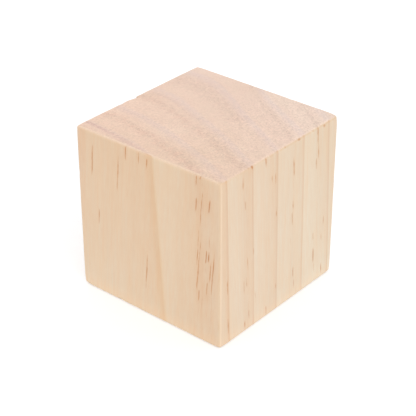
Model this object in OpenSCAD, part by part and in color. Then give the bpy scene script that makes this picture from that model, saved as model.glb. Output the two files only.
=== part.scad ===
// Solid wooden block, sawn and sanded from one length of square softwood.
// Millimetres. The origin is the middle of the face it rests on, +Z is up and runs with the grain.
// The pith of the tree lies beyond the front left corner, and the bark side faces the back right one.

/* [Block] */
// Width along X, across the grain
block_w = 50; // [20:1:120]
// Depth along Y, across the grain
block_d = 50; // [20:1:120]
// Height along Z, with the grain, between the two sawn ends
block_h = 50; // [20:1:120]

/* [Edges] */
// Radius of the four long arrises that run with the grain
arris_r = 0.8; // [0.6:0.1:4]
// Radius sanded round the rim of each sawn end, up to the arris radius
end_rim_r = 0.7; // [0.2:0.1:4]

/* [Chip] */
// Distance of the chip's blunt end in front of the block's middle, along the left rim of the top
chip_y = 1.25; // [0:0.05:4]
// Length of the chip along the rim, from its blunt end to where it runs out towards the front
chip_l = 6.0; // [1:0.1:12]
// How far the blunt end bites into the flat of the top, past the sanded rim
chip_bite = 0.6; // [0.1:0.05:2]
// How far the blunt end runs down the left face with the grain, past the sanded rim
chip_run = 1.9; // [0.5:0.1:8]

/* [Finish] */
// Colour of the sanded wood
wood_colour = "burlywood"; // [burlywood, wheat, bisque, navajowhite]

/* [Hidden] */
// Facets of the round forms on screen
$fn = 64;
// How far a cutter stands outside what it cuts
over = 1;
// Radius that the end rims really get, since the rim turns inside the arris at each corner
rim_r = min(end_rim_r, arris_r);
// Half of the flat stretch between two arrises, along X and along Y
flat_x = block_w / 2 - arris_r;
flat_y = block_d / 2 - arris_r;
// Width of the chip on the top face and its height on the left one, both at the blunt end
chip_w = rim_r + chip_bite;
chip_h = rim_r + chip_run;
// Angle of the chip's break line to the rim, seen from above
chip_turn = atan(chip_w / chip_l);
// Distance from that line to the corner that the blunt end of the chip took, seen from above
chip_reach = chip_w * cos(chip_turn);
// Lean of the break face out of the grain, so that it runs out at the chip's foot
chip_lean = atan(chip_reach / chip_h);

// Rectangle of this width and height with its corners rounded to r, standing on y = 0 and centred on x = 0.
// Its head and foot have no flat where the two corners meet, at a width of 2 * r.
module rounded_rectangle(width, height, r) {
    translate([-width / 2, r]) square([width, height - 2 * r]);
    if (width > 2 * r) translate([r - width / 2, 0]) square([width - 2 * r, height]);
    for (x = [-1, 1], y = [r, height - r])
        translate([x * (width / 2 - r), y]) circle(r);
}

// Half section of a corner post: the arris radius, with the rim radius at its foot and head
module post_section() {
    intersection() {
        rounded_rectangle(2 * arris_r, block_h, rim_r);
        square([arris_r, block_h]);
    }
}

// One corner of the block, where a rounded arris rolls over into both rims
module corner_post() {
    rotate_extrude() post_section();
}

// Bar with both end rims rounded across one direction, as wide as span and as long as length along Y
module rimmed_bar(span, length) {
    rotate([90, 0, 0])
        linear_extrude(length, center = true)
            rounded_rectangle(span, block_h, rim_r);
}

// The whole block before anything broke off it: two crossed bars and the four posts that fill their corners
module eased_block() {
    rimmed_bar(block_w, 2 * flat_y);
    rotate([0, 0, 90]) rimmed_bar(block_d, 2 * flat_x);
    for (x = [-flat_x, flat_x], y = [-flat_y, flat_y])
        translate([x, y, 0]) corner_post();
}

// What the chip took: a splinter that broke along the grain, blunt towards the back, thin towards the front
module chip_splinter() {
    size = chip_l + chip_h + over;
    translate([-block_w / 2, -chip_y, block_h])
        intersection() {
            translate([0, -chip_l, 0])
                rotate([0, 0, -chip_turn])
                    rotate([0, chip_lean, 0])
                        translate([-size, -size, -size]) cube([size, 2 * size, 2 * size]);
            translate([-size, -size, -size]) cube([2 * size, size, 2 * size]);
        }
}

module wooden_block() {
    color(wood_colour)
        difference() {
            eased_block();
            chip_splinter();
        }
}

wooden_block();
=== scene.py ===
import itertools
import math
from collections import namedtuple

import bpy
import numpy as np
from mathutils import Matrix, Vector
from mathutils.geometry import delaunay_2d_cdt
from mathutils.kdtree import KDTree


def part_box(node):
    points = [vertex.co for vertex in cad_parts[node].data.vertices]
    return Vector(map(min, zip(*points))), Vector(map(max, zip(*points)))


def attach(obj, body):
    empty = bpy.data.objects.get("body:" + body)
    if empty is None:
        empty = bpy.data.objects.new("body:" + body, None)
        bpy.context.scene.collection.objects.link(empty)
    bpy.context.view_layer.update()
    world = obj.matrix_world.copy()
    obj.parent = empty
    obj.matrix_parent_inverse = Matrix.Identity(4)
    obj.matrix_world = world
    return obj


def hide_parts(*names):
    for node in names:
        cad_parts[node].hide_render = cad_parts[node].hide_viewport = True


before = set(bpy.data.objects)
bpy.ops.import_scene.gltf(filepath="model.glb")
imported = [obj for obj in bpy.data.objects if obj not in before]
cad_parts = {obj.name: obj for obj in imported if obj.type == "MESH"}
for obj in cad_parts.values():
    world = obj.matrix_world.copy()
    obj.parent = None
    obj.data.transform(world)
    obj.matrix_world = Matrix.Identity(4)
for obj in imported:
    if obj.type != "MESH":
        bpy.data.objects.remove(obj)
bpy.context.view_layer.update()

# Softwood block, sawn and sanded. Sizes are in millimetres until the mesh is written in metres.
# The pith of the tree lies beyond the front left corner, and +Z runs with the grain.
lowest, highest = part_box("wooden_block")
HALF = round((highest.x - lowest.x) * 500, 3)  # half of the width and of the depth
TALL = round((highest.z - lowest.z) * 1000, 3)
ARRIS = 0.8  # radius of the long arrises, as in the CAD
RIM = 0.7  # radius round each sawn end, as in the CAD
FLAT_U = HALF - ARRIS  # a side is flat up to here, on either side of its middle
FLAT_V = TALL / 2 - RIM
EDGE_U = FLAT_U + ARRIS * math.pi / 4  # half way round the arris, along the surface
EDGE_V = FLAT_V + RIM * math.pi / 2  # all the way round the rim, along the surface
CAP = HALF - RIM  # half width of the flat of a sawn end
rng = np.random.default_rng(7)


# ---------------------------------------------------------------- growth rings
PITH = (-24, -82)  # X and Y on the top
STATIONS = np.array([-25, -15, -5, 5, 15, 25.0])  # X
# Y of each ring boundary on the top, at the stations
RINGS = np.array([
    [-32, -33, -35, -38.5, -43, -48],
    [-20.9, -21.6, -22.8, -26.05, -30, -35],
    [-9, -9.5, -11.5, -14.5, -18, -22.5],
    [6, 5, 1.2, -2.6, -7.3, -12.25],
    [20.7, 20, 15.5, 9.3, 3.9, -1.8],
    [33, 31, 27, 20.5, 15, 9.5],
    [44, 42, 38, 32, 27, 20.7],
    [56, 54, 50, 44, 39, 33.0],
])
# How much further back each boundary lies at the foot of the block
DRIFT = np.array([1.2, 1.35, 1.7, 1.8, 1.2, 1.5, 2.7, 3.5])
RING_MM = 11  # mean width of a ring
LATEWOOD = (0.9, 2.4, 0.9, 1.8, 1.0, 1.8, 1.6)  # mm over which the wood gets dense before boundaries 1 to 7
# Bands where resin canals run, each on the pith side of a boundary: number of the boundary, X where
# the band starts and ends, its distance from the boundary and its half width at both, strength
BANDS = (
    (1, -25, 3, 3.8, 0.4, 0.8, 0.5, 0.5),
    (2, -25, 25, 5.6, 4.9, 1.0, 1.4, 1.0),
    (3, -25, -2, 2.8, 1.6, 0.6, 0.5, 0.7),
    (3, -25, 25, 6.3, 2.8, 1.0, 1.1, 0.9),
    (4, -25, 7, 5.8, 2.8, 3.2, 1.2, 1.0),
    (5, -7, 25, 2.1, 4.0, 0.7, 0.6, 0.8),
    (6, 12, 25, 3.3, 4.4, 0.8, 0.6, 0.8),
)
HASH_FACTORS = (73856093, 19349663, 83492791)  # one for each axis of the noise


def step(lo, hi, x):
    """0 below lo, 1 above hi, smooth between."""
    t = np.clip((x - lo) / (hi - lo), 0, 1)
    return t * t * (3 - 2 * t)


def through(x, xs, ys):
    """Smooth curve through the points with these xs and ys."""
    slope = np.gradient(ys, xs)
    k = np.clip(np.searchsorted(xs, x) - 1, 0, len(xs) - 2)
    h = xs[k + 1] - xs[k]
    t = (x - xs[k]) / h
    return (
        (1 + 2 * t) * (1 - t) ** 2 * ys[k] + t * (1 - t) ** 2 * h * slope[k]
        + t * t * (3 - 2 * t) * ys[k + 1] + t * t * (t - 1) * h * slope[k + 1]
    )


def noise(p, seed):
    """Smooth random values from -1 to 1, one cell per unit, in one to three dimensions."""
    p = np.asarray(p, float)
    cell = np.floor(p).astype(np.int64)
    share = p - cell
    share = share * share * (3 - 2 * share)
    total = np.zeros(len(p))
    for corner in itertools.product((0, 1), repeat=p.shape[1]):
        mixed = seed * 7919 + ((cell + corner) * HASH_FACTORS[: p.shape[1]]).sum(1)
        mixed = ((mixed ^ (mixed >> 15)) * 668265263) & 0xFFFFFFFF
        mixed = ((mixed ^ (mixed >> 13)) * 374761393) & 0xFFFFFFFF
        value = ((mixed >> 8) & 0xFFFF) / 32767.5 - 1
        total += np.prod(np.where(corner, share, 1 - share), axis=1) * value
    return total


def boundaries(x, z):
    """Y of every ring boundary at these places, one row per boundary."""
    return np.stack([through(x, STATIONS, r) for r in RINGS]) + DRIFT[:, None] * (1 - z / TALL)


def ring_number(p):
    """Whole part: the boundary on the pith side of the point. Fraction: how far it is to the next one."""
    lines = boundaries(p[:, 0], p[:, 2])
    k = np.clip((p[:, 1] >= lines).sum(0) - 1, 0, len(lines) - 2)
    each = np.arange(len(p))
    return k + (p[:, 1] - lines[k, each]) / (lines[k + 1, each] - lines[k, each])


def canal_zone(p, spread=1.0):
    """0 to 1: how far inside a band of resin canals the point lies, with the bands this much wider."""
    lines = boundaries(p[:, 0], p[:, 2])
    slopes = (boundaries(p[:, 0] + 0.1, p[:, 2]) - lines) / 0.1
    zone = np.zeros(len(p))
    for ring, x0, x1, gap0, gap1, half0, half1, strength in BANDS:
        t = (p[:, 0] - x0) / (x1 - x0)
        gap = (lines[ring] - p[:, 1]) / np.sqrt(1 + slopes[ring] ** 2)
        off = (gap - gap0 - (gap1 - gap0) * t) / (half0 + (half1 - half0) * t.clip(0, 1)) / spread
        ends = step(-0.12, 0.02, t) * step(-0.12, 0.02, 1 - t)
        zone = np.maximum(zone, strength * ends * np.exp(-off * off))
    return zone


# ---------------------------------------------------------------- the surface
# A side is a sheet in u (across, to the right as seen from outside) and v (up, round both rims)
SIDES = (((1, 0), (0, -1)), ((0, 1), (1, 0)), ((-1, 0), (0, 1)), ((0, -1), (-1, 0)))  # across, out
FRONT, RIGHT, BACK, LEFT = range(4)


def on_side(side, u, v):
    """Points and outward normals at these places of a side."""
    turn = np.clip(np.abs(u) - FLAT_U, 0, None) / ARRIS * np.sign(u)  # angle round the arris
    tip = np.clip(np.abs(v) - FLAT_V, 0, None) / RIM  # angle over the rim
    radius = ARRIS - RIM * (1 - np.cos(tip))
    across = np.clip(u, -FLAT_U, FLAT_U) + radius * np.sin(turn)
    out = FLAT_U + radius * np.cos(turn)
    z = TALL / 2 + np.sign(v) * (np.clip(np.abs(v), None, FLAT_V) + RIM * np.sin(tip))
    rightward, outward = np.array(SIDES[side], float)
    xy = across[:, None] * rightward + out[:, None] * outward
    facing = (np.sin(turn)[:, None] * rightward + np.cos(turn)[:, None] * outward) * np.cos(tip)[:, None]
    return np.column_stack([xy, z]), np.column_stack([facing, np.sin(tip) * np.sign(v)])


class Sheet:
    """Points in a plane domain that get triangulated. The first ones are its closed outline."""

    def __init__(self, outline):
        self.points = np.array(outline, float)
        self.outline = len(outline)

    def add(self, points, gap):
        """Adds the points that keep this distance from those already there."""
        tree = KDTree(len(self.points))
        for i, p in enumerate(self.points):
            tree.insert((*p, 0), i)
        tree.balance()
        keep = [p for p in points if tree.find((*p, 0))[2] > gap]
        if keep:
            self.points = np.vstack([self.points, keep])

    def scatter(self, lo, hi, spacing, gap):
        """Adds a jittered grid over the box from lo to hi."""
        n = np.maximum(np.round((np.array(hi) - lo) / spacing).astype(int), 1)
        i, j = np.meshgrid(*[(np.arange(k) + 0.5) / k for k in n], indexing="ij")
        p = np.array(lo) + np.column_stack([i.ravel(), j.ravel()]) * (np.array(hi) - lo)
        self.add(p + rng.uniform(-0.3, 0.3, p.shape) * spacing, gap)

    def triangles(self):
        """Three points each, the same way round, all inside the outline."""
        edges = [(i, (i + 1) % self.outline) for i in range(self.outline)]
        inside_outline = 1
        made = delaunay_2d_cdt([Vector(p) for p in self.points], edges, [], inside_outline, 1e-6)
        triangles, origins = made[2], made[3]
        tris = np.array([ids[0] for ids in origins])[np.array(triangles)]
        a, b, c = (self.points[tris[:, k]] for k in range(3))
        area = (b[:, 0] - a[:, 0]) * (c[:, 1] - a[:, 1]) - (b[:, 1] - a[:, 1]) * (c[:, 0] - a[:, 0])
        tris[area < 0] = tris[area < 0][:, ::-1]
        return tris[np.abs(area) > 1e-9]


# ---------------------------------------------------------------- resin streaks of the sides
# Where its upper end is across and up the side, its length, its strength, and its half width in HALOs
Streak = namedtuple("Streak", "across top length strength width")
# Where canals come out on the two sides that the photo shows:
# mm from the left edge at the upper end, depth of the upper and of the lower end, strength, width
SEEN = {
    FRONT: (
        (6.1, 3.4, 13.6, 0.78, 1), (15.5, 3, 15.6, 0.58, 1.1), (18.3, -1, 4.4, 0.82, 0.9),
        (22.9, -1, 4.4, 0.62, 1), (25.6, 1, 4.9, 0.78, 1), (7.6, 22, 28.2, 0.7, 1.1),
        (24.9, 30, 41.9, 0.7, 1), (42.2, 0.3, 3.2, 0.9, 0.8), (43.5, -1, 1.2, 0.9, 0.9),
        (44.1, 3.9, 14.6, 0.62, 0.75), (42.1, 6.6, 10.8, 0.88, 0.95), (46.5, 5.5, 10, 1.2, 0.85),
        (42.9, 15.3, 21.5, 0.52, 0.85), (42.6, 20.5, 27.3, 0.54, 0.9), (42.9, 23.6, 34.3, 0.8, 0.8),
        (42.9, 33.7, 38.1, 0.84, 0.9), (45.4, 21, 25, 1.2, 0.75), (46.2, 20.7, 24.6, 1.3, 0.8),
        (48.1, 19.7, 35, 0.88, 0.8), (46.9, 23.6, 30.4, 0.75, 0.8), (45.7, 30.1, 35.3, 0.76, 0.9),
        (46.6, 15.5, 21.3, 0.4, 1), (43.7, 15.5, 31, 0.5, 0.75), (44.4, 31, 46, 0.34, 0.9),
        (42.7, 38.5, 49, 0.3, 1), (47.4, 33.5, 47, 0.34, 0.9), (47.6, 9.5, 20, 0.28, 0.8),
        (21.1, 6.5, 13, 0.22, 1), (10.2, 33, 41, 0.2, 1), (27.6, 5.5, 12, 0.22, 1),
    ),
    RIGHT: (
        (8.7, 1.3, 5.8, 0.56, 1.3), (9.8, 8.6, 12.3, 0.72, 0.9), (11.2, 26, 31.4, 0.48, 0.9),
        (13.6, 24.5, 27.5, 0.58, 1.3), (2.8, 28.9, 34.6, 0.78, 1.1), (3.3, 41.5, 47.3, 0.68, 1.2),
        (9.8, 33, 37.8, 0.64, 0.9), (10.9, 32, 36.2, 0.58, 0.8), (12.1, 43.3, 46.8, 0.72, 0.9),
        (10.4, 45.8, 49, 0.76, 1.1), (18, -1, 3.2, 0.7, 1.1), (20.8, 6, 9, 0.6, 0.8),
        (22.2, 5.8, 9.9, 0.48, 1.5), (23, 16.5, 20, 0.5, 1.2), (23.7, 40, 44.4, 0.42, 1.4),
        (19.6, 45.8, 49.6, 0.82, 1.1), (30.1, 4.5, 11, 0.84, 1.1), (30.4, 17.3, 21.2, 0.47, 1.4),
        (30.2, 21.1, 26, 0.76, 0.85), (31.5, 39.2, 44, 0.66, 1.3), (32.1, 43.3, 47.6, 0.55, 1),
        (40.5, -1, 5.2, 0.8, 1.1), (41.1, 4.3, 10.6, 0.66, 0.95), (40.4, 9.2, 13.1, 0.74, 0.85),
        (45, 28.9, 33.4, 0.54, 1), (40.5, 32.3, 35.5, 0.58, 1.1), (40.8, 37.7, 43.3, 1.1, 0.95),
        (44.4, 34.2, 38, 0.5, 1), (45, 44.5, 49.2, 0.7, 1), (12.4, -1, 1, 1.3, 1.3),
        (41.4, 42.5, 46.8, 0.4, 1.2), (29.6, 27, 34, 0.3, 1), (14.6, 38, 43, 0.42, 1),
        # Pits in the rim of the top
        (43.4, 0.1, 1.6, 0.62, 2.4), (32.1, -0.5, 1, 0.6, 2.8), (26.2, -0.5, 0.8, 0.52, 2.2),
        (11, -0.6, 0.4, 1.2, 1.1), (38.3, -0.5, 0.8, 0.55, 2.6),
    ),
}
HIDDEN_COUNT = 27  # streaks on each side that the photo doesn't show
LEAN_X, LEAN_Y = 0.085, -0.07  # mm that the fibres move for each mm up
LEAN = {FRONT: -LEAN_X, RIGHT: -LEAN_Y, BACK: LEAN_X, LEFT: LEAN_Y}  # mm across for each mm down
SOAK = {FRONT: 1.5, RIGHT: 0.6, BACK: 0.8, LEFT: 0.8}  # how strongly resin stains the wood about streaks
HALO = 0.36  # a streak's half width, stained rim included


def streaks(side):
    """Those of the photo, or random ones that keep to the canal bands."""
    if side in SEEN:
        return [Streak(x - HALF, TALL / 2 - a, b - a, s, w) for x, a, b, s, w in SEEN[side]]
    found = []
    while len(found) < HIDDEN_COUNT:
        u = rng.uniform(-HALF + 1.5, HALF - 1.5)
        v = rng.uniform(-TALL / 2 + 1, TALL / 2 + 1)
        length = min(1.8 + rng.gamma(2.0, 1.6), 13)
        strength = rng.uniform(0.4, 1)
        width = rng.uniform(0.8, 1.4)
        place = on_side(side, np.array([u]), np.array([min(v, FLAT_V)]))[0]
        # Beside, below or above every other one
        clear = all(
            abs(u - f.across) > 0.7 or v < f.top - f.length - 1 or f.top < v - length - 1 for f in found
        )
        if clear and rng.random() < canal_zone(place)[0] ** 1.5 + 0.01:
            found.append(Streak(u, v, length, strength, width))
    return found


def streak_line(side, streak, along):
    """Across, at these depths below the upper end."""
    return streak.across + LEAN[side] * along + 0.035 * np.sin(along * 0.8 + streak.top * 3)


def streak_points(side, streak):
    """Five lines of mesh points along the streak, as far as it lies between the arrises."""
    along = np.linspace(0, streak.length, int(streak.length / 0.5) + 4)
    u = streak_line(side, streak, along)
    v = streak.top - along
    lines = [np.column_stack([u + HALO * streak.width * k, v]) for k in (-1, -0.42, 0, 0.42, 1)]
    points = np.vstack(lines)
    return points[(np.abs(points[:, 0]) < FLAT_U) & (np.abs(points[:, 1]) < EDGE_V - 0.1)]


def streak_resin(side, streak, uv):
    """How much resin there is over the sheet: up to 1.7, in the middle of the strongest streaks."""
    along = streak.top - uv[:, 1]
    t = (along / streak.length * 0.93 + 0.035).clip(0, 1)
    across = np.abs(uv[:, 0] - streak_line(side, streak, along)) / HALO / streak.width
    taper = 0.5 + 0.5 * math.sin(streak.top * 7) ** 2
    patchy = 1.08 + 0.3 * noise(np.column_stack([along / 1.1 + streak.across * 9]), 31)
    return streak.strength * patchy * np.sin(math.pi * t) ** taper * (1 - across).clip(0, 1) ** 0.7


def streak_stain(side, found, uv):
    """0 to 1: how much resin has soaked the wood at a streak and between neighbouring ones."""
    total, halo = np.zeros((2, len(uv)))
    for streak in found:
        along = streak.top - uv[:, 1]
        across = np.abs(uv[:, 0] - streak_line(side, streak, along))
        ends = step(-4, 2, along) * step(-4, 2, streak.length - along)
        total += streak.strength * np.exp(-((across / 1.7) ** 2)) * ends
        halo = np.maximum(halo, streak.strength * np.exp(-((across / 0.5) ** 2)) * ends * ends)
    return 0.12 * halo + (SOAK[side] * (0.45 * total - 0.25)).clip(0, 0.36)


# ---------------------------------------------------------------- the chip on the left rim of the top
CHIP_Y, CHIP_L, CHIP_W, CHIP_H = 1.25, 6.0, 1.3, 2.6  # place, length, width and height, as in the CAD
WALL = 0.02  # width of the strip of mesh that becomes the blunt wall
# Three corners of the plane that the break follows, and its normal, which points up and out
blunt = np.array([-HALF + CHIP_W, -CHIP_Y, TALL])
runout = np.array([-HALF, -CHIP_Y - CHIP_L, TALL])
foot = np.array([-HALF, -CHIP_Y, TALL - CHIP_H])
chip_normal = np.cross(runout - blunt, foot - blunt)
chip_normal /= np.linalg.norm(chip_normal) * np.sign(chip_normal[2])
CHIP_U = (CHIP_Y - 0.8, CHIP_Y + CHIP_L + 0.7)  # finely meshed stretch of the left side
CHIP_V = (EDGE_V - CHIP_H - 1.2, EDGE_V)


def blunt_end(q):
    """How far in front of the middle the break's blunt wall stands, along the profile q over the rim."""
    p = np.column_stack([np.asarray(q) / 0.35])
    return CHIP_Y + 0.07 * noise(p, 21) + 0.04 * noise(p * 2.7, 22)


def lip(q):
    """Two lines of points, the top and the foot of the blunt wall."""
    return np.column_stack([blunt_end(q), q]), np.column_stack([blunt_end(q) + WALL, q])


def break_depth(p, q):
    """How far a point of the unbroken surface stood outside the break, and 0 where none is missing."""
    fibre = np.column_stack([p[:, 1] / 0.24, p[:, 2] / 1.8])
    rough = 0.04 + 0.04 * noise(fibre, 23) + 0.025 * noise(fibre * 2.6, 24)
    outside = (p - blunt) @ chip_normal + rough
    return np.where(-p[:, 1] > blunt_end(q) + WALL / 5, outside.clip(0, None), 0)


# ---------------------------------------------------------------- sheets: four sides and two sawn ends
# Spacing of scattered mesh points and their least distance from points already there
SIDE_MESH, END_MESH, CHIP_MESH = (0.5, 0.24), (0.48, 0.22), (0.11, 0.045)
# The same distance for the points of these
LIP_GAP, STREAK_GAP, EDGE_GAP, CANAL_GAP = 0.012, 0.13, 0.08, 0.1
CANALS = 330  # on each sawn end
# Places of the mesh points along a side's edges, up and across, and of those over a rim and an arris
flat_v = np.linspace(-FLAT_V, FLAT_V, 123)
flat_u = np.linspace(-FLAT_U, FLAT_U, 131)
rim_v = FLAT_V + np.linspace(0, 1, 7) * (EDGE_V - FLAT_V)
arris_u = FLAT_U + np.linspace(0, 1, 5) * (EDGE_U - FLAT_U)
column_v = np.concatenate([-rim_v[:0:-1], flat_v, rim_v[1:]])
row_u = np.concatenate([-arris_u[:0:-1], flat_u, arris_u[1:]])
chip_q = np.arange(CHIP_V[0], EDGE_V + CHIP_W, 0.1)  # along the profile over the left rim, at the chip


def grid(us, vs):
    return np.array([(u, v) for u in us for v in vs])


def head_row(side):
    """Places across a side where it meets the flat of the top, close together along the chip."""
    if side != LEFT:
        return row_u
    away = row_u[(row_u < CHIP_U[0] - 0.1) | (row_u > CHIP_U[1] + 0.1)]
    wall_foot = blunt_end([EDGE_V])[0] + WALL
    return np.sort(np.concatenate([away, np.arange(CHIP_U[0], CHIP_U[1], CHIP_MESH[0]), [wall_foot]]))


def end_outline(sign):
    """The points of the four sides that bound the flat of the top for 1, or of the foot for -1."""
    points = []
    for side in range(4):
        row = (head_row(side) if sign > 0 else row_u)[:-1]
        points.extend(on_side(side, row, np.full(len(row), EDGE_V))[0][:, :2])
    return points


def side_sheet(side):
    """One side with both rims and half of each arris."""
    sheet = Sheet(
        [(u, -EDGE_V) for u in row_u] + [(EDGE_U, v) for v in column_v[1:-1]]
        + [(u, EDGE_V) for u in head_row(side)[::-1]] + [(-EDGE_U, v) for v in column_v[-2:0:-1]]
    )
    if side == LEFT:
        for line in lip(chip_q[chip_q < EDGE_V - 0.05]):
            sheet.add(line, LIP_GAP)
        sheet.scatter((CHIP_U[0], CHIP_V[0]), (CHIP_U[1], EDGE_V), *CHIP_MESH)
    found = streaks(side)
    for streak in found:
        sheet.add(streak_points(side, streak), STREAK_GAP)
    rims = grid(row_u[1:-1], np.concatenate([-rim_v[:-1], rim_v[:-1]]))
    arrises = grid(np.concatenate([-arris_u[:-1], arris_u[:-1]]), flat_v[1:-1])
    sheet.add(np.vstack([rims, arrises]), EDGE_GAP)
    sheet.scatter((-FLAT_U, -FLAT_V), (FLAT_U, FLAT_V), *SIDE_MESH)
    uv = sheet.points
    place, normal = on_side(side, uv[:, 0], uv[:, 1])
    resin = np.max([streak_resin(side, streak, uv) for streak in found], axis=0)
    fading = np.cos((np.abs(uv[:, 1]) - FLAT_V).clip(0, None) / RIM)  # streaks end on the rims
    return {
        "place": place,
        "normal": normal,
        "chart": uv,
        "profile": uv[:, 1],
        "resin": resin * fading,
        "stain": streak_stain(side, found, uv),
        "triangles": sheet.triangles(),
    }


def end_canals(z, count):
    """Centres and radii of the canals that come out on a sawn end."""
    found = []
    while len(found) < count:
        p = np.array([[*rng.uniform(-CAP + 0.4, CAP - 0.4, 2), z]])
        clear = all(math.hypot(p[0, 0] - x, p[0, 1] - y) > 0.55 for x, y, r in found)
        if clear and rng.random() < canal_zone(p, 1.3)[0] ** 1.3 + 0.02:
            found.append((p[0, 0], p[0, 1], rng.uniform(0.12, 0.22)))
    return found


def end_sheet(sign):
    """The flat of a sawn end, the top for 1 and the foot for -1."""
    z = TALL if sign > 0 else 0
    sheet = Sheet(end_outline(sign))
    if sign > 0:
        for line in lip(chip_q[chip_q > EDGE_V + 0.05]):
            sheet.add(np.column_stack([line[:, 1] - EDGE_V - CAP, -line[:, 0]]), LIP_GAP)
        sheet.scatter((-CAP + 0.03, -CHIP_U[1]), (-CAP + 0.9, -CHIP_U[0]), *CHIP_MESH)
    canals = end_canals(z, CANALS)
    turns = np.linspace(0, 2 * math.pi, 7)[:-1]
    for x, y, r in canals:
        sheet.add([(x, y)] + [(x + r * math.cos(t), y + r * math.sin(t)) for t in turns], CANAL_GAP)
    within = CAP - 0.15
    sheet.scatter((-within, -within), (within, within), *END_MESH)
    xy = sheet.points
    resin = np.zeros(len(xy))
    for x, y, r in canals:
        resin = np.maximum(resin, (1 - np.hypot(xy[:, 0] - x, xy[:, 1] - y) / r).clip(0, 1))
    tris = sheet.triangles()
    return {
        "place": np.column_stack([xy, np.full(len(xy), float(z))]),
        "normal": np.tile((0.0, 0.0, float(sign)), (len(xy), 1)),
        "chart": xy,
        "profile": EDGE_V + xy[:, 0] + CAP,
        "resin": resin,
        "stain": np.zeros(len(xy)),
        "triangles": tris if sign > 0 else tris[:, ::-1],
    }


# ---------------------------------------------------------------- the shape of the worn surface
WELD = 2e4  # points of two sheets are one where they agree to 1 / WELD mm
CORNER_MM = 1.8  # how far the wear of a corner reaches
DENTS = (  # where, depth, radius
    ((-25, -7.5, 49.7), 0.2, 0.7), ((25, -13.2, 49.8), 0.1, 0.5), ((-11, -25, 0.2), 0.12, 0.8),
    ((-25, 25, 12), 0.16, 0.9), ((9, 25, 49.8), 0.12, 0.7),
    ((-25, 14, 0.2), 0.14, 0.9), ((25, 17, 0.2), 0.1, 0.7), ((-25, -25, 36), 0.08, 0.9),
)
WORN = {  # how much rounder each corner is than its edges, by the signs of its place
    (-1, -1, 1): 0.08, (-1, -1, -1): 0.28, (1, -1, -1): 0.14, (1, -1, 1): 0.42,
    (1, 1, -1): 0.14, (1, 1, 1): 0.28, (-1, 1, 1): 0.13, (-1, 1, -1): 0.25,
}


def weld_sheets(sheets):
    """Makes the sheets one closed surface. Gives its points, its faces, and their corners in the sheets."""
    joined = {}
    for key in ("place", "normal", "profile", "resin", "stain"):
        joined[key] = np.concatenate([sheet[key] for sheet in sheets])
    starts = np.cumsum([0] + [len(sheet["place"]) for sheet in sheets])
    tris = np.concatenate([sheet["triangles"] + start for sheet, start in zip(sheets, starts)])
    keys = np.round(joined["place"] * WELD).astype(np.int64)
    _, first, weld = np.unique(keys, axis=0, return_index=True, return_inverse=True)
    weld = weld.ravel()
    points = {key: joined[key][first] for key in ("place", "normal", "profile")}
    for key in ("resin", "stain"):
        points[key] = np.zeros(len(first))
        np.maximum.at(points[key], weld, joined[key])
    faces = weld[tris]
    whole = (faces[:, 0] != faces[:, 1]) & (faces[:, 1] != faces[:, 2]) & (faces[:, 2] != faces[:, 0])
    return points, faces[whole], tris[whole]


def on_end(out):
    """0 on a side, 1 on a sawn end, from the normal."""
    return step(0.5, 0.97, np.abs(out[:, 2]))


def eased(out):
    """0 on a face, 1 half way round an arris or a rim."""
    return ((1 - np.abs(out).max(1)) / (1 - math.sqrt(0.5))).clip(0, 1)


def corner_wear(base):
    """How far the corners are worn down below their edges."""
    worn = np.zeros(len(base))
    for (x, y, z), depth in WORN.items():
        corner = np.array([x * HALF, y * HALF, (z + 1) * TALL / 2])
        worn += depth * np.exp(-(((base - corner) / CORNER_MM) ** 2).sum(1))
    return worn


def sink_depth(base, out, ring, resin):
    """How far the real surface lies inside the CAD's one."""
    late = ((ring % 1 - 0.86) / 0.14).clip(0, 1)
    end = on_end(out)
    level = np.abs(out[:, 2])
    # Waves from sanding, soft earlywood on the sides, and the roughness of the sawn ends
    sink = 0.02 * (1 + noise(base / 17, 1)) + 0.01 * (1 + noise(base / 5, 2))
    sink += 0.014 * (1 - late) * (1 - end)
    sink += end * 0.006 * (1 + noise(base / 0.6, 3))
    # Uneven arrises and rims
    sink += eased(out) * (1 - level) * 0.05 * (1 + noise(base / (1.5, 1.5, 4), 4))
    sink += eased(out) * level * (0.045 * (1 + noise(base / 1.6, 5)) + 0.03 * (1 + noise(base / 0.45, 6)))
    # Open canals, worn corners and dents
    sink += 0.07 * resin
    sink += corner_wear(base)
    for where, depth, radius in DENTS:
        sink += depth * np.exp(-(((base - where) / radius) ** 2).sum(1))
    return sink


def break_chip(place, profile):
    """Moves what stood outside the break in to it, but not along the rim. Says by how much it was outside."""
    gone = break_depth(place, profile)
    push = np.array([chip_normal[0], 0, chip_normal[2]])
    return place - push / (push @ push) * gone[:, None], gone


# ---------------------------------------------------------------- what the material reads from each point
PATCHES = (  # paler and darker places on the top: X, Y, radius, strength
    (-3, -12, 6, 1), (-22, 1, 5, -1), (-22, 24, 5, 0.9),
    (-4, 24, 5, -0.9), (16, -23, 4, 0.9), (18, -8, 4, 0.5),
)
PITH_MM = 85  # distance from the pith at which an angle about it is turned into mm


def patchiness(base):
    return sum(s * np.exp(-((base[:, 0] - x) ** 2 + (base[:, 1] - y) ** 2) / r**2) for x, y, r, s in PATCHES)


def saw_roughness(base):
    """The saw left the end grain rough towards the right and smooth at the back left."""
    smooth = step(-8, 5, base[:, 1]) * (1 - step(-5, 10, base[:, 0]))
    return 1.12 + 0.27 * step(0, 15, base[:, 0]) - 0.55 * smooth


def grain_place(base, ring):
    """Mm across the rings, round the pith along the fibres' lean, and up."""
    leaning = base[:, 0] - PITH[0] - LEAN_X * (base[:, 2] - TALL)
    return np.column_stack([ring * RING_MM, PITH_MM * np.arctan2(leaning, base[:, 1] - PITH[1]), base[:, 2]])


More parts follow.
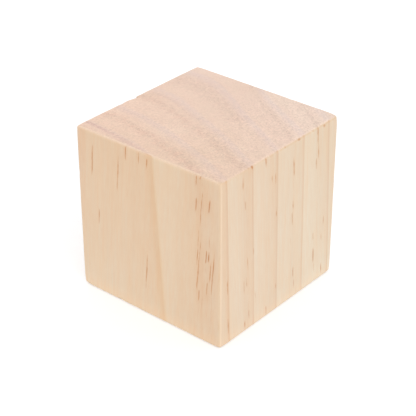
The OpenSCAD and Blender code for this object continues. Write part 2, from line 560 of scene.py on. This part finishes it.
def point_values(points, ring, gone):
    """Attributes of the mesh, 0 to 1 where nothing else is said."""
    base, out = points["place"], points["normal"]
    level = np.abs(out[:, 2])
    end = on_end(out) * (1 - step(0.08, 0.3, corner_wear(base)))
    turned = np.degrees(np.arctan2(np.abs(out[:, 0]), np.abs(out[:, 1])))  # 0 is front or back, 90 a side
    return {
        "ring": ring,  # 0 to 7
        "zone": canal_zone(base, 1 + 0.5 * end),
        "resin": points["resin"],  # 0 to 1.7
        "stain": points["stain"],
        "fresh": step(0.01, 0.05, gone),  # on the break
        "end": end,
        "inset": HALF - np.abs(base[:, :2]).max(1),  # mm from the nearest side
        "burnished_and_highlight": (1 - np.abs(turned - 65) / 24).clip(0, 1) * (1 - level),  # arrises, to left and right: paler from sanding, partly a painted highlight
        "arris_painted_shade": (1 - np.abs(turned - 28) / 26).clip(0, 1) * (1 - level),  # arrises, to front and back: painted shade
        "right": (base[:, 0] > np.abs(base[:, 1])) * 1.0,
        "sawn": saw_roughness(base),  # 0.6 to 1.4
        "patch": patchiness(base) * (out[:, 2] > 0),  # -1 to 1
        "foot": (-2 * out[:, 2]).clip(0, 1) * (1 - end),  # lower rims, painted lighter for light bounced from the floor
        "head": eased(out) * level * (out[:, 2] > 0),  # upper rims: paler, partly a painted highlight
    }


# ---------------------------------------------------------------- one closed mesh
LIP_ANGLE = 38  # degrees between faces from which a lip of the break is sharp


def add_charts(mesh, sheets, corners):
    """UV map with a chart for each sheet, three by two."""
    chart = np.concatenate([sheet["chart"] for sheet in sheets]) / (2 * EDGE_V * 1.03)
    cell = np.repeat(np.arange(len(sheets)), [len(sheet["chart"]) for sheet in sheets])
    chart = (chart + np.column_stack([cell % 3 + 0.5, cell // 3 + 0.5])) / 3
    uv_map = mesh.uv_layers.new(name="OFBake")
    uv_map.data.foreach_set("uv", chart[corners.ravel()].astype(np.float32).ravel())


def mark_lips(mesh, place, faces, fresh):
    """Smooth everywhere but on the lips of the break."""
    mesh.shade_smooth()
    edges = np.empty(len(mesh.edges) * 2, np.int32)
    mesh.edges.foreach_get("vertices", edges)
    edges = np.sort(edges.reshape(-1, 2), axis=1)
    a, b, c = (place[faces[:, k]] for k in range(3))
    face_normal = np.cross(b - a, c - a)
    face_normal /= np.linalg.norm(face_normal, axis=1)[:, None] + 1e-12
    half_edges = np.sort(np.vstack([faces[:, [0, 1]], faces[:, [1, 2]], faces[:, [2, 0]]]), axis=1)
    owner = np.tile(np.arange(len(faces)), 3)
    order = np.lexsort((half_edges[:, 1], half_edges[:, 0]))  # the two halves of an edge come together
    one, other = owner[order[0::2]], owner[order[1::2]]
    pair = half_edges[order[0::2]]
    sharp = (face_normal[one] * face_normal[other]).sum(1) < math.cos(math.radians(LIP_ANGLE))
    sharp &= (fresh[pair] > 0.02).any(1)
    sharp_pairs = {tuple(p) for p in pair[sharp]}
    values = [tuple(e) in sharp_pairs for e in edges]
    mesh.attributes.new("sharp_edge", "BOOLEAN", "EDGE").data.foreach_set("value", values)


def block_mesh():
    """The whole block, in metres."""
    sheets = [side_sheet(side) for side in range(4)] + [end_sheet(sign) for sign in (1, -1)]
    points, faces, corners = weld_sheets(sheets)
    base, out = points["place"], points["normal"]
    ring = ring_number(base)
    sink = sink_depth(base, out, ring, points["resin"])
    place, gone = break_chip(base - out * sink[:, None], points["profile"])
    mesh = bpy.data.meshes.new("softwood_block")
    mesh.from_pydata((place / 1000).tolist(), [], faces.tolist())
    values = point_values(points, ring, gone)
    for name, each in values.items():
        mesh.attributes.new(name, "FLOAT", "POINT").data.foreach_set("value", each.astype(np.float32))
    grain = mesh.attributes.new("grain", "FLOAT_VECTOR", "POINT")
    grain.data.foreach_set("vector", grain_place(base, ring).astype(np.float32).ravel())
    add_charts(mesh, sheets, corners)
    mark_lips(mesh, place, faces, values["fresh"])
    mesh.validate()
    return mesh


# ---------------------------------------------------------------- materials
class Nodes:
    """Short calls for building a node tree. A value is a number or another node's socket."""

    def __init__(self, tree):
        self.tree = tree
        tree.nodes.clear()

    def add(self, kind, inputs=None, **settings):
        node = self.tree.nodes.new(kind)
        for key, value in settings.items():
            setattr(node, key, value)
        for key, value in (inputs or {}).items():
            self.set(node.inputs[key], value)
        return node

    def set(self, socket, value):
        if isinstance(value, bpy.types.NodeSocket):
            self.tree.links.new(value, socket)
        else:
            socket.default_value = value

    def math(self, operation, *values, clamp=False):
        inputs = dict(enumerate(values))
        return self.add("ShaderNodeMath", inputs, operation=operation, use_clamp=clamp).outputs[0]

    def vector(self, operation, *values):
        return self.add("ShaderNodeVectorMath", dict(enumerate(values)), operation=operation).outputs[0]

    def sum(self, first, *rest):
        """Adds values, each alone or as a pair of a value and its weight."""
        total = self.math("MULTIPLY", *first) if isinstance(first, tuple) else first
        for value in rest:
            if isinstance(value, tuple):
                total = self.math("MULTIPLY_ADD", *value, total)
            else:
                total = self.math("ADD", total, value)
        return total

    def product(self, total, *rest):
        for value in rest:
            total = self.math("MULTIPLY", total, value)
        return total

    def line(self, x, slope, start, clamp=False):
        """Start plus slope for each unit of x, and with clamp kept to 0 to 1."""
        return self.math("MULTIPLY_ADD", x, slope, start, clamp=clamp)

    def remap(self, x, lo, hi, to_lo=0.0, to_hi=1.0, smooth=True):
        values = {"Value": x, "From Min": lo, "From Max": hi, "To Min": to_lo, "To Max": to_hi}
        kind = "SMOOTHSTEP" if smooth else "LINEAR"
        return self.add("ShaderNodeMapRange", values, interpolation_type=kind).outputs[0]

    def fall(self, x, lo, hi):
        """1 below lo, 0 above hi."""
        return self.remap(x, lo, hi, 1.0, 0.0)

    def band(self, x, start, full, fading, end, rest=0.0):
        """0 below start, 1 from full to fading, rest above end."""
        return self.product(self.remap(x, start, full), self.remap(x, fading, end, 1.0, rest))

    def tint(self, colour, *shifts):
        """The colour times one plus each shift of red, green and blue: pairs of its amount and the shift."""
        for amount, shift in shifts:
            scaled = self.add("ShaderNodeVectorMath", {0: shift, "Scale": amount}, operation="SCALE")
            colour = self.vector("MULTIPLY", colour, self.vector("ADD", scaled.outputs[0], (1, 1, 1)))
        return colour

    def attribute(self, name, output="Fac"):
        return self.add("ShaderNodeAttribute", attribute_name=name).outputs[output]

    def noise(self, where, scale, detail=2.0, roughness=0.5):
        """Noise of about -0.5 to 0.5, with this many cells per unit along each axis."""
        scaled = self.vector("MULTIPLY", where, scale)
        values = {"Vector": scaled, "Scale": 1.0, "Detail": detail, "Roughness": roughness}
        return self.math("SUBTRACT", self.add("ShaderNodeTexNoise", values).outputs["Fac"], 0.5)

    def ramp(self, fac, stops):
        node = self.add("ShaderNodeValToRGB", {"Fac": fac})
        elements = node.color_ramp.elements
        while len(elements) < len(stops):
            elements.new(0.5)
        for element, (place, colour) in zip(elements, stops):
            element.position = place
            element.color = (*colour, 1.0)
        return node.outputs["Color"]

    def mix(self, fac, a, b, blend="MIX"):
        node = self.add("ShaderNodeMix", {0: fac, 6: a, 7: b}, data_type="RGBA", blend_type=blend)
        return node.outputs[2]


HEART, BODY, SAP = (0.829, 0.634, 0.45, 1), (0.809, 0.647, 0.487, 1), (0.813, 0.67, 0.509, 1)  # sides
END_HEART, END_SAP = (0.868, 0.63, 0.487, 1), (0.868, 0.662, 0.55, 1)  # sawn ends
# Paler sanded edges that are partly a painted highlight; lower rims painted lighter for light bounced from
# the floor; the fresh break
PALE_EDGE_AND_HIGHLIGHT, FOOT_PAINTED_LIGHT, FRESH = (0.93, 0.74, 0.55, 1), (1.0, 0.79, 0.55, 1), (0.84, 0.65, 0.45, 1)
DARKENING = np.array([0.051, 0.142, 0.216])  # of red, green and blue on the sides, for each unit of density
HEADROOM = 1.25  # the side's colour is at most this many times its base, where the wood is least dense
BUMP = 0.00003  # height of the bump, in metres


class Softwood(Nodes):
    """Sanded wood with rings, resin, sawn ends and worn edges, with painted highlights, shade and floor
    light, from what each point of the mesh carries.
    """

    def __init__(self, tree):
        super().__init__(tree)
        self.grain = self.attribute("grain", "Vector")
        axes = self.add("ShaderNodeSeparateXYZ", {0: self.grain}).outputs
        self.around, self.up = axes["Y"], axes["Z"]  # mm round the pith from the left, and above the foot
        self.plain_ring = self.attribute("ring")
        self.zone = self.attribute("zone")
        self.stain = self.attribute("stain")
        self.resin = self.attribute("resin")
        self.end = self.attribute("end")
        self.fresh = self.attribute("fresh")
        self.make_fibres()
        self.make_rings()

    def fibre_noise(self, scale, detail=2.0, roughness=0.5, shift=None):
        """Noise with this many cells per mm across the rings, round the pith and up."""
        where = self.vector("ADD", self.grain, shift) if shift else self.grain
        return self.noise(where, scale, detail, roughness)

    def make_fibres(self):
        """Fibres run with Z, so the same noise is lines on the sides and specks on the sawn ends."""
        self.broad = self.fibre_noise((0.3, 0.16, 0.018))
        self.medium = self.fibre_noise((1.5, 0.9, 0.05), 3.0)
        self.fine = self.fibre_noise((5.5, 4.5, 0.16), 3.0, 0.6)
        self.flecks = self.fibre_noise((7.0, 7.0, 0.9), 1.0)
        self.rays = self.fibre_noise((1.1, 9.0, 2.0))
        self.fuzz = self.fibre_noise((8.0, 8.0, 4.0), 3.0, 0.7)
        self.threads = self.fibre_noise((4.5, 3.5, 0.03), shift=(3, 41, 0))
        self.blotch = self.fibre_noise((1.0, 0.7, 0.3), 3.0, 0.6, shift=(31, 7, 0))
        self.grit = self.fibre_noise((1.8, 1.6, 1.0), 4.0, 0.65, shift=(5, 53, 0))
        self.hue = self.fibre_noise((0.55, 0.4, 0.05), 3.0, 0.6, shift=(11, 19, 0))
        self.torn = self.fibre_noise((0.8, 0.8, 0.8), shift=(17, 23, 0))
        ragged = self.product(self.resin, self.sum(1.0, (self.fine, 1.1), (self.flecks, 1.1)))
        self.core = self.remap(ragged, 0.16, 0.9)  # the dark middle of a streak

    def make_rings(self):
        """Dense latewood builds up before each boundary and stops sharply behind it."""
        self.ring = self.sum(self.plain_ring, (self.medium, 0.035), (self.fine, 0.012))
        self.fraction = self.math("FRACT", self.ring)
        width = self.by_ring([(k + 0.9, mm / RING_MM) for k, mm in enumerate(LATEWOOD)])
        to_boundary = self.math("DIVIDE", self.math("SUBTRACT", self.fraction, 1.0), width)
        rise = self.math("POWER", self.math("ADD", to_boundary, 1.0, clamp=True), 1.4)
        late = self.sum((rise, 0.42), (self.remap(self.fraction, 0.93, 0.975), 0.58))
        behind = self.fall(self.fraction, 0.0, self.remap(self.ring, 1.3, 1.6, 0.03, 0.026))
        self.late = self.math("MAXIMUM", late, behind)

    def by_ring(self, stops):
        """Runs through these values at these rings."""
        count = len(RINGS)
        share = self.math("DIVIDE", self.ring, float(count))
        return self.ramp(share, [(ring / count, (value,) * 3) for ring, value in stops])

    def side_tone_and_painted_light(self):
        """Broad differences in density over the sides, with painted light: paler towards the foot and darker
        towards the top.
        """
        upright = self.sum(self.around, (self.up, 0.073))  # as around, but without the fibres' lean
        inner = self.fall(self.plain_ring, 2.0, 2.4)
        dark = self.product(self.band(upright, 48.0, 52.0, 58.0, 61.0, 0.3), inner)
        light = self.band(self.around, 3.0, 10.0, 43.0, 47.0)
        by_arris = self.product(self.remap(upright, 58.5, 62.0), inner)
        pale = self.sum(
            # Painted light: paler low down and darker high up, and paler still in the lowest 7 mm, standing
            # in for light bounced from the floor
            self.line(self.up, -0.0076, 0.19),
            self.remap(self.up, 0.0, 7.0, 0.3, 0.0),
            (dark, self.remap(self.up, 5.0, 35.0, -0.4, -0.2)),
            (light, self.remap(self.up, 3.0, 20.0, 0.25, 0.07)),
            (by_arris, 0.09),
        )
        low_band = self.product(
            self.remap(self.up, 6.0, 20.0, 0.3, 0.0), self.band(self.plain_ring, 4.98, 5.03, 5.2, 5.5)
        )
        return self.sum((pale, -1.0), (self.remap(self.ring, 5.9, 6.05), 0.2), low_band)

    def side_density(self):
        """Drives the colour on the sides, from pale earlywood through latewood to resin, with some painted
        floor light.
        """
        short_flecks = self.remap(self.flecks, 0.2, 0.34, 0.0, 0.5)
        soaked = self.sum(0.12, (self.zone, 0.8), (self.stain, 0.6))
        return self.sum(
            (short_flecks, self.line(self.zone, 0.8, 0.2)),
            (self.remap(self.fraction, 0.12, 0.95), 0.5),
            (self.late, 0.78),
            (self.zone, 0.22),
            (self.stain, 0.75),
            (self.broad, 0.5),
            (self.medium, 0.8),
            (self.fine, 0.8),
            (self.blotch, 0.5),
            (self.remap(self.threads, 0.1, 0.26), soaked),
            self.side_tone_and_painted_light(),
            (self.core, 4.0),
        )

    def side_colour(self):
        heart = self.mix(self.remap(self.ring, 1.2, 2.4), HEART, BODY)
        wood = self.mix(self.band(self.ring, 3.0, 5.6, 5.9, 6.2, 0.3), heart, SAP)
        # The ramp runs over densities from -1 to 7
        share = self.product(self.math("ADD", self.side_density(), 1.0), 0.125)
        stops = [(k / 8, tuple(np.exp(-DARKENING * (k - 1)) / HEADROOM)) for k in range(9)]
        factor = self.vector("MULTIPLY", self.ramp(share, stops), (HEADROOM,) * 3)
        innermost = self.product(self.late, self.fall(self.ring, 1.0, 1.3))
        return self.tint(
            self.mix(1.0, wood, factor, "MULTIPLY"),
            (self.sum(self.hue, (self.fine, 0.5), (self.medium, 0.8)), (0.045, -0.015, -0.09)),
            (self.core, (-0.045, -0.055, -0.05)),  # dull resin
            (self.fall(self.up, 0.5, 5.0), (0.045, 0.0, -0.04)),  # painted warm light bounced from the floor, just above the foot
            (self.fall(self.around, 0.0, 7.0), (0.004, -0.018, 0.0)),  # redder at the left
            (innermost, (0.022, 0.035, 0.01)),  # weak latewood
        )

    def end_lines(self):
        """Dark lines at the inner ring boundaries of a sawn end, broken up and weaker towards the right."""
        rank = self.by_ring([(0.9, 1), (1.3, 0.2), (2.5, 0.03)])
        return self.product(
            self.remap(self.fraction, 0.84, 0.94),
            rank,
            self.remap(self.around, 5.0, 28.0, 1.0, 0.45),
            self.remap(self.sum(self.grit, (self.blotch, 0.9)), -0.4, 0.15),
        )

    def end_colour(self):
        """Pinker and greyer than the sides, with cool pale latewood and a dull mottled canal band."""
        sawn = self.attribute("sawn")
        patchy = self.line(self.blotch, 1.6, 0.85, clamp=True)
        cool = self.math("MAXIMUM", self.remap(self.fraction, 0.74, 0.95), self.fall(self.fraction, 0.0, 0.1))
        mottle = self.product(self.zone, self.line(self.blotch, 2.6, 0.8, clamp=True))
        rust = self.product(mottle, self.fall(self.ring, 2.1, 3.0), self.remap(self.hue, -0.1, 0.15))
        rough = self.sum(self.grit, (self.blotch, 0.5), (self.fuzz, 0.5), (self.rays, 0.4), (self.broad, 0.3))
        leftward = self.math("SUBTRACT", 0.5, self.remap(self.around, -5.0, 45.0, smooth=False))
        young = self.product(self.remap(self.ring, 2.0, 4.5, 1.0, 0.15), leftward)
        specks = self.remap(self.sum(self.grit, (self.fuzz, 0.6)), 0.09, 0.2)
        return self.tint(
            self.mix(self.remap(self.ring, 0.8, 5.5, smooth=False), END_HEART, END_SAP),
            (self.product(cool, patchy), (-0.036, -0.018, 0.038)),
            (mottle, (-0.075, -0.085, -0.085)),
            (self.end_lines(), (-0.115, -0.18, -0.165)),
            (rust, (0.015, -0.03, -0.04)),
            (self.product(rough, sawn), (-0.37, -0.40, -0.41)),
            (young, (0.06, 0.055, 0.085)),
            (self.remap(self.ring, 4.4, 5.4), (0.012, 0.035, 0.035)),  # sapwood
            (self.hue, (0.035, -0.03, -0.005)),
            (self.attribute("patch"), (0.02, 0.035, 0.05)),
            (self.product(specks, sawn, self.line(self.zone, 0.75, 0.25)), (-0.10, -0.135, -0.135)),
            (self.remap(self.resin, 0.1, 0.75), (-0.22, -0.30, -0.34)),  # open canals
        )

    def edges_worn_and_painted(self, colour):
        """Arrises and rims a little paler from sanding, partly a painted highlight; painted shade on part of
        each arris; lower rims painted lighter for light bounced from the floor; torn and brown at the right
        of the top.
        """
        inset, right, head = self.attribute("inset"), self.attribute("right"), self.attribute("head")
        # Less paleness at the right, which the key lamp lights more: the paleness is partly a painted
        # highlight
        off_right = self.line(right, -0.75, 1.0)
        # A pale line just inside the rims of the top: paler sanded end grain and a painted highlight
        rim_highlight_line = self.product(self.band(inset, 0.22, 0.5, 0.55, 0.9), self.end, off_right)
        pale = self.sum(
            (self.attribute("burnished_and_highlight"), 0.8), (rim_highlight_line, 0.6), (self.product(head, off_right), 0.35)
        )
        pale = self.product(pale, self.line(self.medium, 2.0, 0.8, clamp=True))
        # Paler arrises and rims: partly sanding, partly a painted highlight
        colour = self.mix(pale, colour, PALE_EDGE_AND_HIGHLIGHT)
        # Lower rims painted lighter, standing in for light bounced from the floor
        colour = self.mix(self.attribute("foot"), colour, FOOT_PAINTED_LIGHT)
        brown = self.product(
            self.remap(inset, 0.4, 0.05),
            right,
            self.remap(self.up, TALL - 0.9, TALL - 0.4),
            self.remap(self.around, 44.0, 52.0, 1.1, 0.5),
            self.line(self.torn, 4.0, 0.9, clamp=True),
        )
        colour = self.tint(
            colour,
            # Painted shade on the part of each arris that faces front or back
            (self.attribute("arris_painted_shade"), (-0.055, -0.055, -0.09)),
            (brown, (-0.04, -0.10, -0.17)),
            (self.product(head, self.math("MAXIMUM", self.late, self.core)), (-0.05, -0.16, -0.3)),
        )
        return self.mix(self.product(self.fresh, 0.45), colour, FRESH)

    def surface(self, colour):
        """Sanded wood is matt, dense latewood and resin a little less so."""
        rough = self.sum(
            0.6, (self.end, 0.14), (self.fine, 0.18),
            (self.late, -0.07), (self.core, -0.1), (self.fresh, 0.15),
        )
        height = self.sum(
            self.product(self.sum(self.fine, (self.medium, 0.8)), self.math("SUBTRACT", 1.0, self.end)),
            (self.product(self.sum(self.fuzz, self.grit, (self.rays, 0.5)), self.end), 1.4),
            (self.product(self.fine, self.fresh), 4.0),
        )
        bump = self.add("ShaderNodeBump", {"Height": height, "Strength": 1.0, "Distance": BUMP})
        shader = self.add("ShaderNodeBsdfPrincipled", {
            "Base Color": colour,
            "Roughness": rough,
            "Normal": bump.outputs[0],
            "IOR": 1.45,
            "Specular IOR Level": 0.4,
        })
        self.add("ShaderNodeOutputMaterial", {"Surface": shader.outputs[0]})


def softwood():
    material = bpy.data.materials.new("sanded_softwood")
    material.use_nodes = True
    wood = Softwood(material.node_tree)
    colour = wood.mix(wood.end, wood.side_colour(), wood.end_colour())
    wood.surface(wood.edges_worn_and_painted(colour))
    return material


block = bpy.data.objects.new("softwood_block", block_mesh())
bpy.context.scene.collection.objects.link(block)
block.data.materials.append(softwood())
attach(block, "root")
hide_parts("wooden_block")


# ---------------------------------------------------------------- floor and light
FLOOR_HALF = 3.0  # half of the floor's side, in metres
FLOOR_GREY, FLOOR_LIFT = 0.8, 0.34  # colour of its surface, and how much brighter it looks than it is lit
TENT_SIDES, TENT_OVERHEAD = 1.13, 0.77  # brightness of the light tent
KEY_SHARE, KEY_FROM, KEY_SPREAD = 0.19, (62, 30), 50  # brightness, azimuth and elevation, degrees across


def seen_directly(n):
    """1 for rays from the camera, also in a mirror or through glass."""
    path = n.add("ShaderNodeLightPath").outputs
    either = n.math("MAXIMUM", path["Is Camera Ray"], path["Is Glossy Ray"])
    return n.math("MAXIMUM", either, path["Is Transmission Ray"])


def pale_paint():
    material = bpy.data.materials.new("pale_floor")
    material.use_nodes = True
    n = Nodes(material.node_tree)
    diffuse = n.add("ShaderNodeBsdfDiffuse", {"Color": (FLOOR_GREY, FLOOR_GREY, FLOOR_GREY, 1)})
    strength = n.product(seen_directly(n), FLOOR_LIFT)
    lift = n.add("ShaderNodeEmission", {"Color": (0.93, 0.96, 1, 1), "Strength": strength})
    both = n.add("ShaderNodeAddShader", {0: diffuse.outputs[0], 1: lift.outputs[0]})
    n.add("ShaderNodeOutputMaterial", {"Surface": both.outputs[0]})
    return material


def lay_floor():
    mesh = bpy.data.meshes.new("floor")
    corners = [(x * FLOOR_HALF, y * FLOOR_HALF, 0) for x, y in ((-1, -1), (1, -1), (1, 1), (-1, 1))]
    mesh.from_pydata(corners, [], [(0, 1, 2, 3)])
    mesh.materials.append(pale_paint())
    floor = bpy.data.objects.new("floor", mesh)
    bpy.context.scene.collection.objects.link(floor)


def raise_tent():
    """Pale all round, a little brighter at the sides than overhead, and white where it is seen."""
    world = bpy.data.worlds.new("studio")
    bpy.context.scene.world = world
    world.use_nodes = True
    n = Nodes(world.node_tree)
    toward = n.add("ShaderNodeTexCoord").outputs["Generated"]
    height = n.add("ShaderNodeSeparateXYZ", {0: toward}).outputs["Z"]
    tent = n.remap(height, 0.0, 1.0, TENT_SIDES, TENT_OVERHEAD, smooth=False)
    strength = n.add("ShaderNodeMix", {0: seen_directly(n), 2: tent, 3: 1.0}).outputs[0]
    sky = n.add("ShaderNodeBackground", {"Color": (1, 1, 1, 1), "Strength": strength})
    n.add("ShaderNodeOutputWorld", {"Surface": sky.outputs[0]})


def away(azimuth, elevation):
    """Unit vector from the block towards this direction. Azimuth 0 is the front, 90 the right."""
    a, e = math.radians(azimuth), math.radians(elevation)
    return Vector((math.sin(a) * math.cos(e), -math.cos(a) * math.cos(e), math.sin(e)))


def face_block(thing, direction):
    """Turns a lamp or a camera to look back at the block from this direction."""
    thing.rotation_mode = "QUATERNION"
    thing.rotation_quaternion = direction.to_track_quat("Z", "Y")


def hang_key():
    """Far, broad light that gives a surface which faces it KEY_SHARE of full brightness."""
    data = bpy.data.lights.new("key", "SUN")
    data.energy = KEY_SHARE * math.pi
    data.angle = math.radians(KEY_SPREAD)
    lamp = bpy.data.objects.new("key", data)
    face_block(lamp, away(*KEY_FROM))
    bpy.context.scene.collection.objects.link(lamp)


lay_floor()
raise_tent()
hang_key()


# ---------------------------------------------------------------- camera, fitted to the photograph
LENS, SENSOR = 113.0, 36  # mm
SEEN_FROM = (39.97, 30.41)  # azimuth and elevation
DISTANCE, RIGHTWARD, UPWARD = 0.3614, -0.00003, -0.002  # from the middle of the block, in metres


def set_camera():
    data = bpy.data.cameras.new("camera")
    data.sensor_width = SENSOR
    data.lens = LENS
    data.clip_start, data.clip_end = 0.01, 20
    camera = bpy.data.objects.new("camera", data)
    back = away(*SEEN_FROM)
    face_block(camera, back)
    right, up = (camera.rotation_quaternion @ Vector(v) for v in ((1, 0, 0), (0, 1, 0)))
    middle = Vector((0, 0, TALL / 2000))
    camera.location = middle + right * RIGHTWARD + up * UPWARD + back * DISTANCE
    bpy.context.scene.collection.objects.link(camera)
    bpy.context.scene.camera = camera


set_camera()
bpy.context.scene.view_settings.view_transform = "Standard"
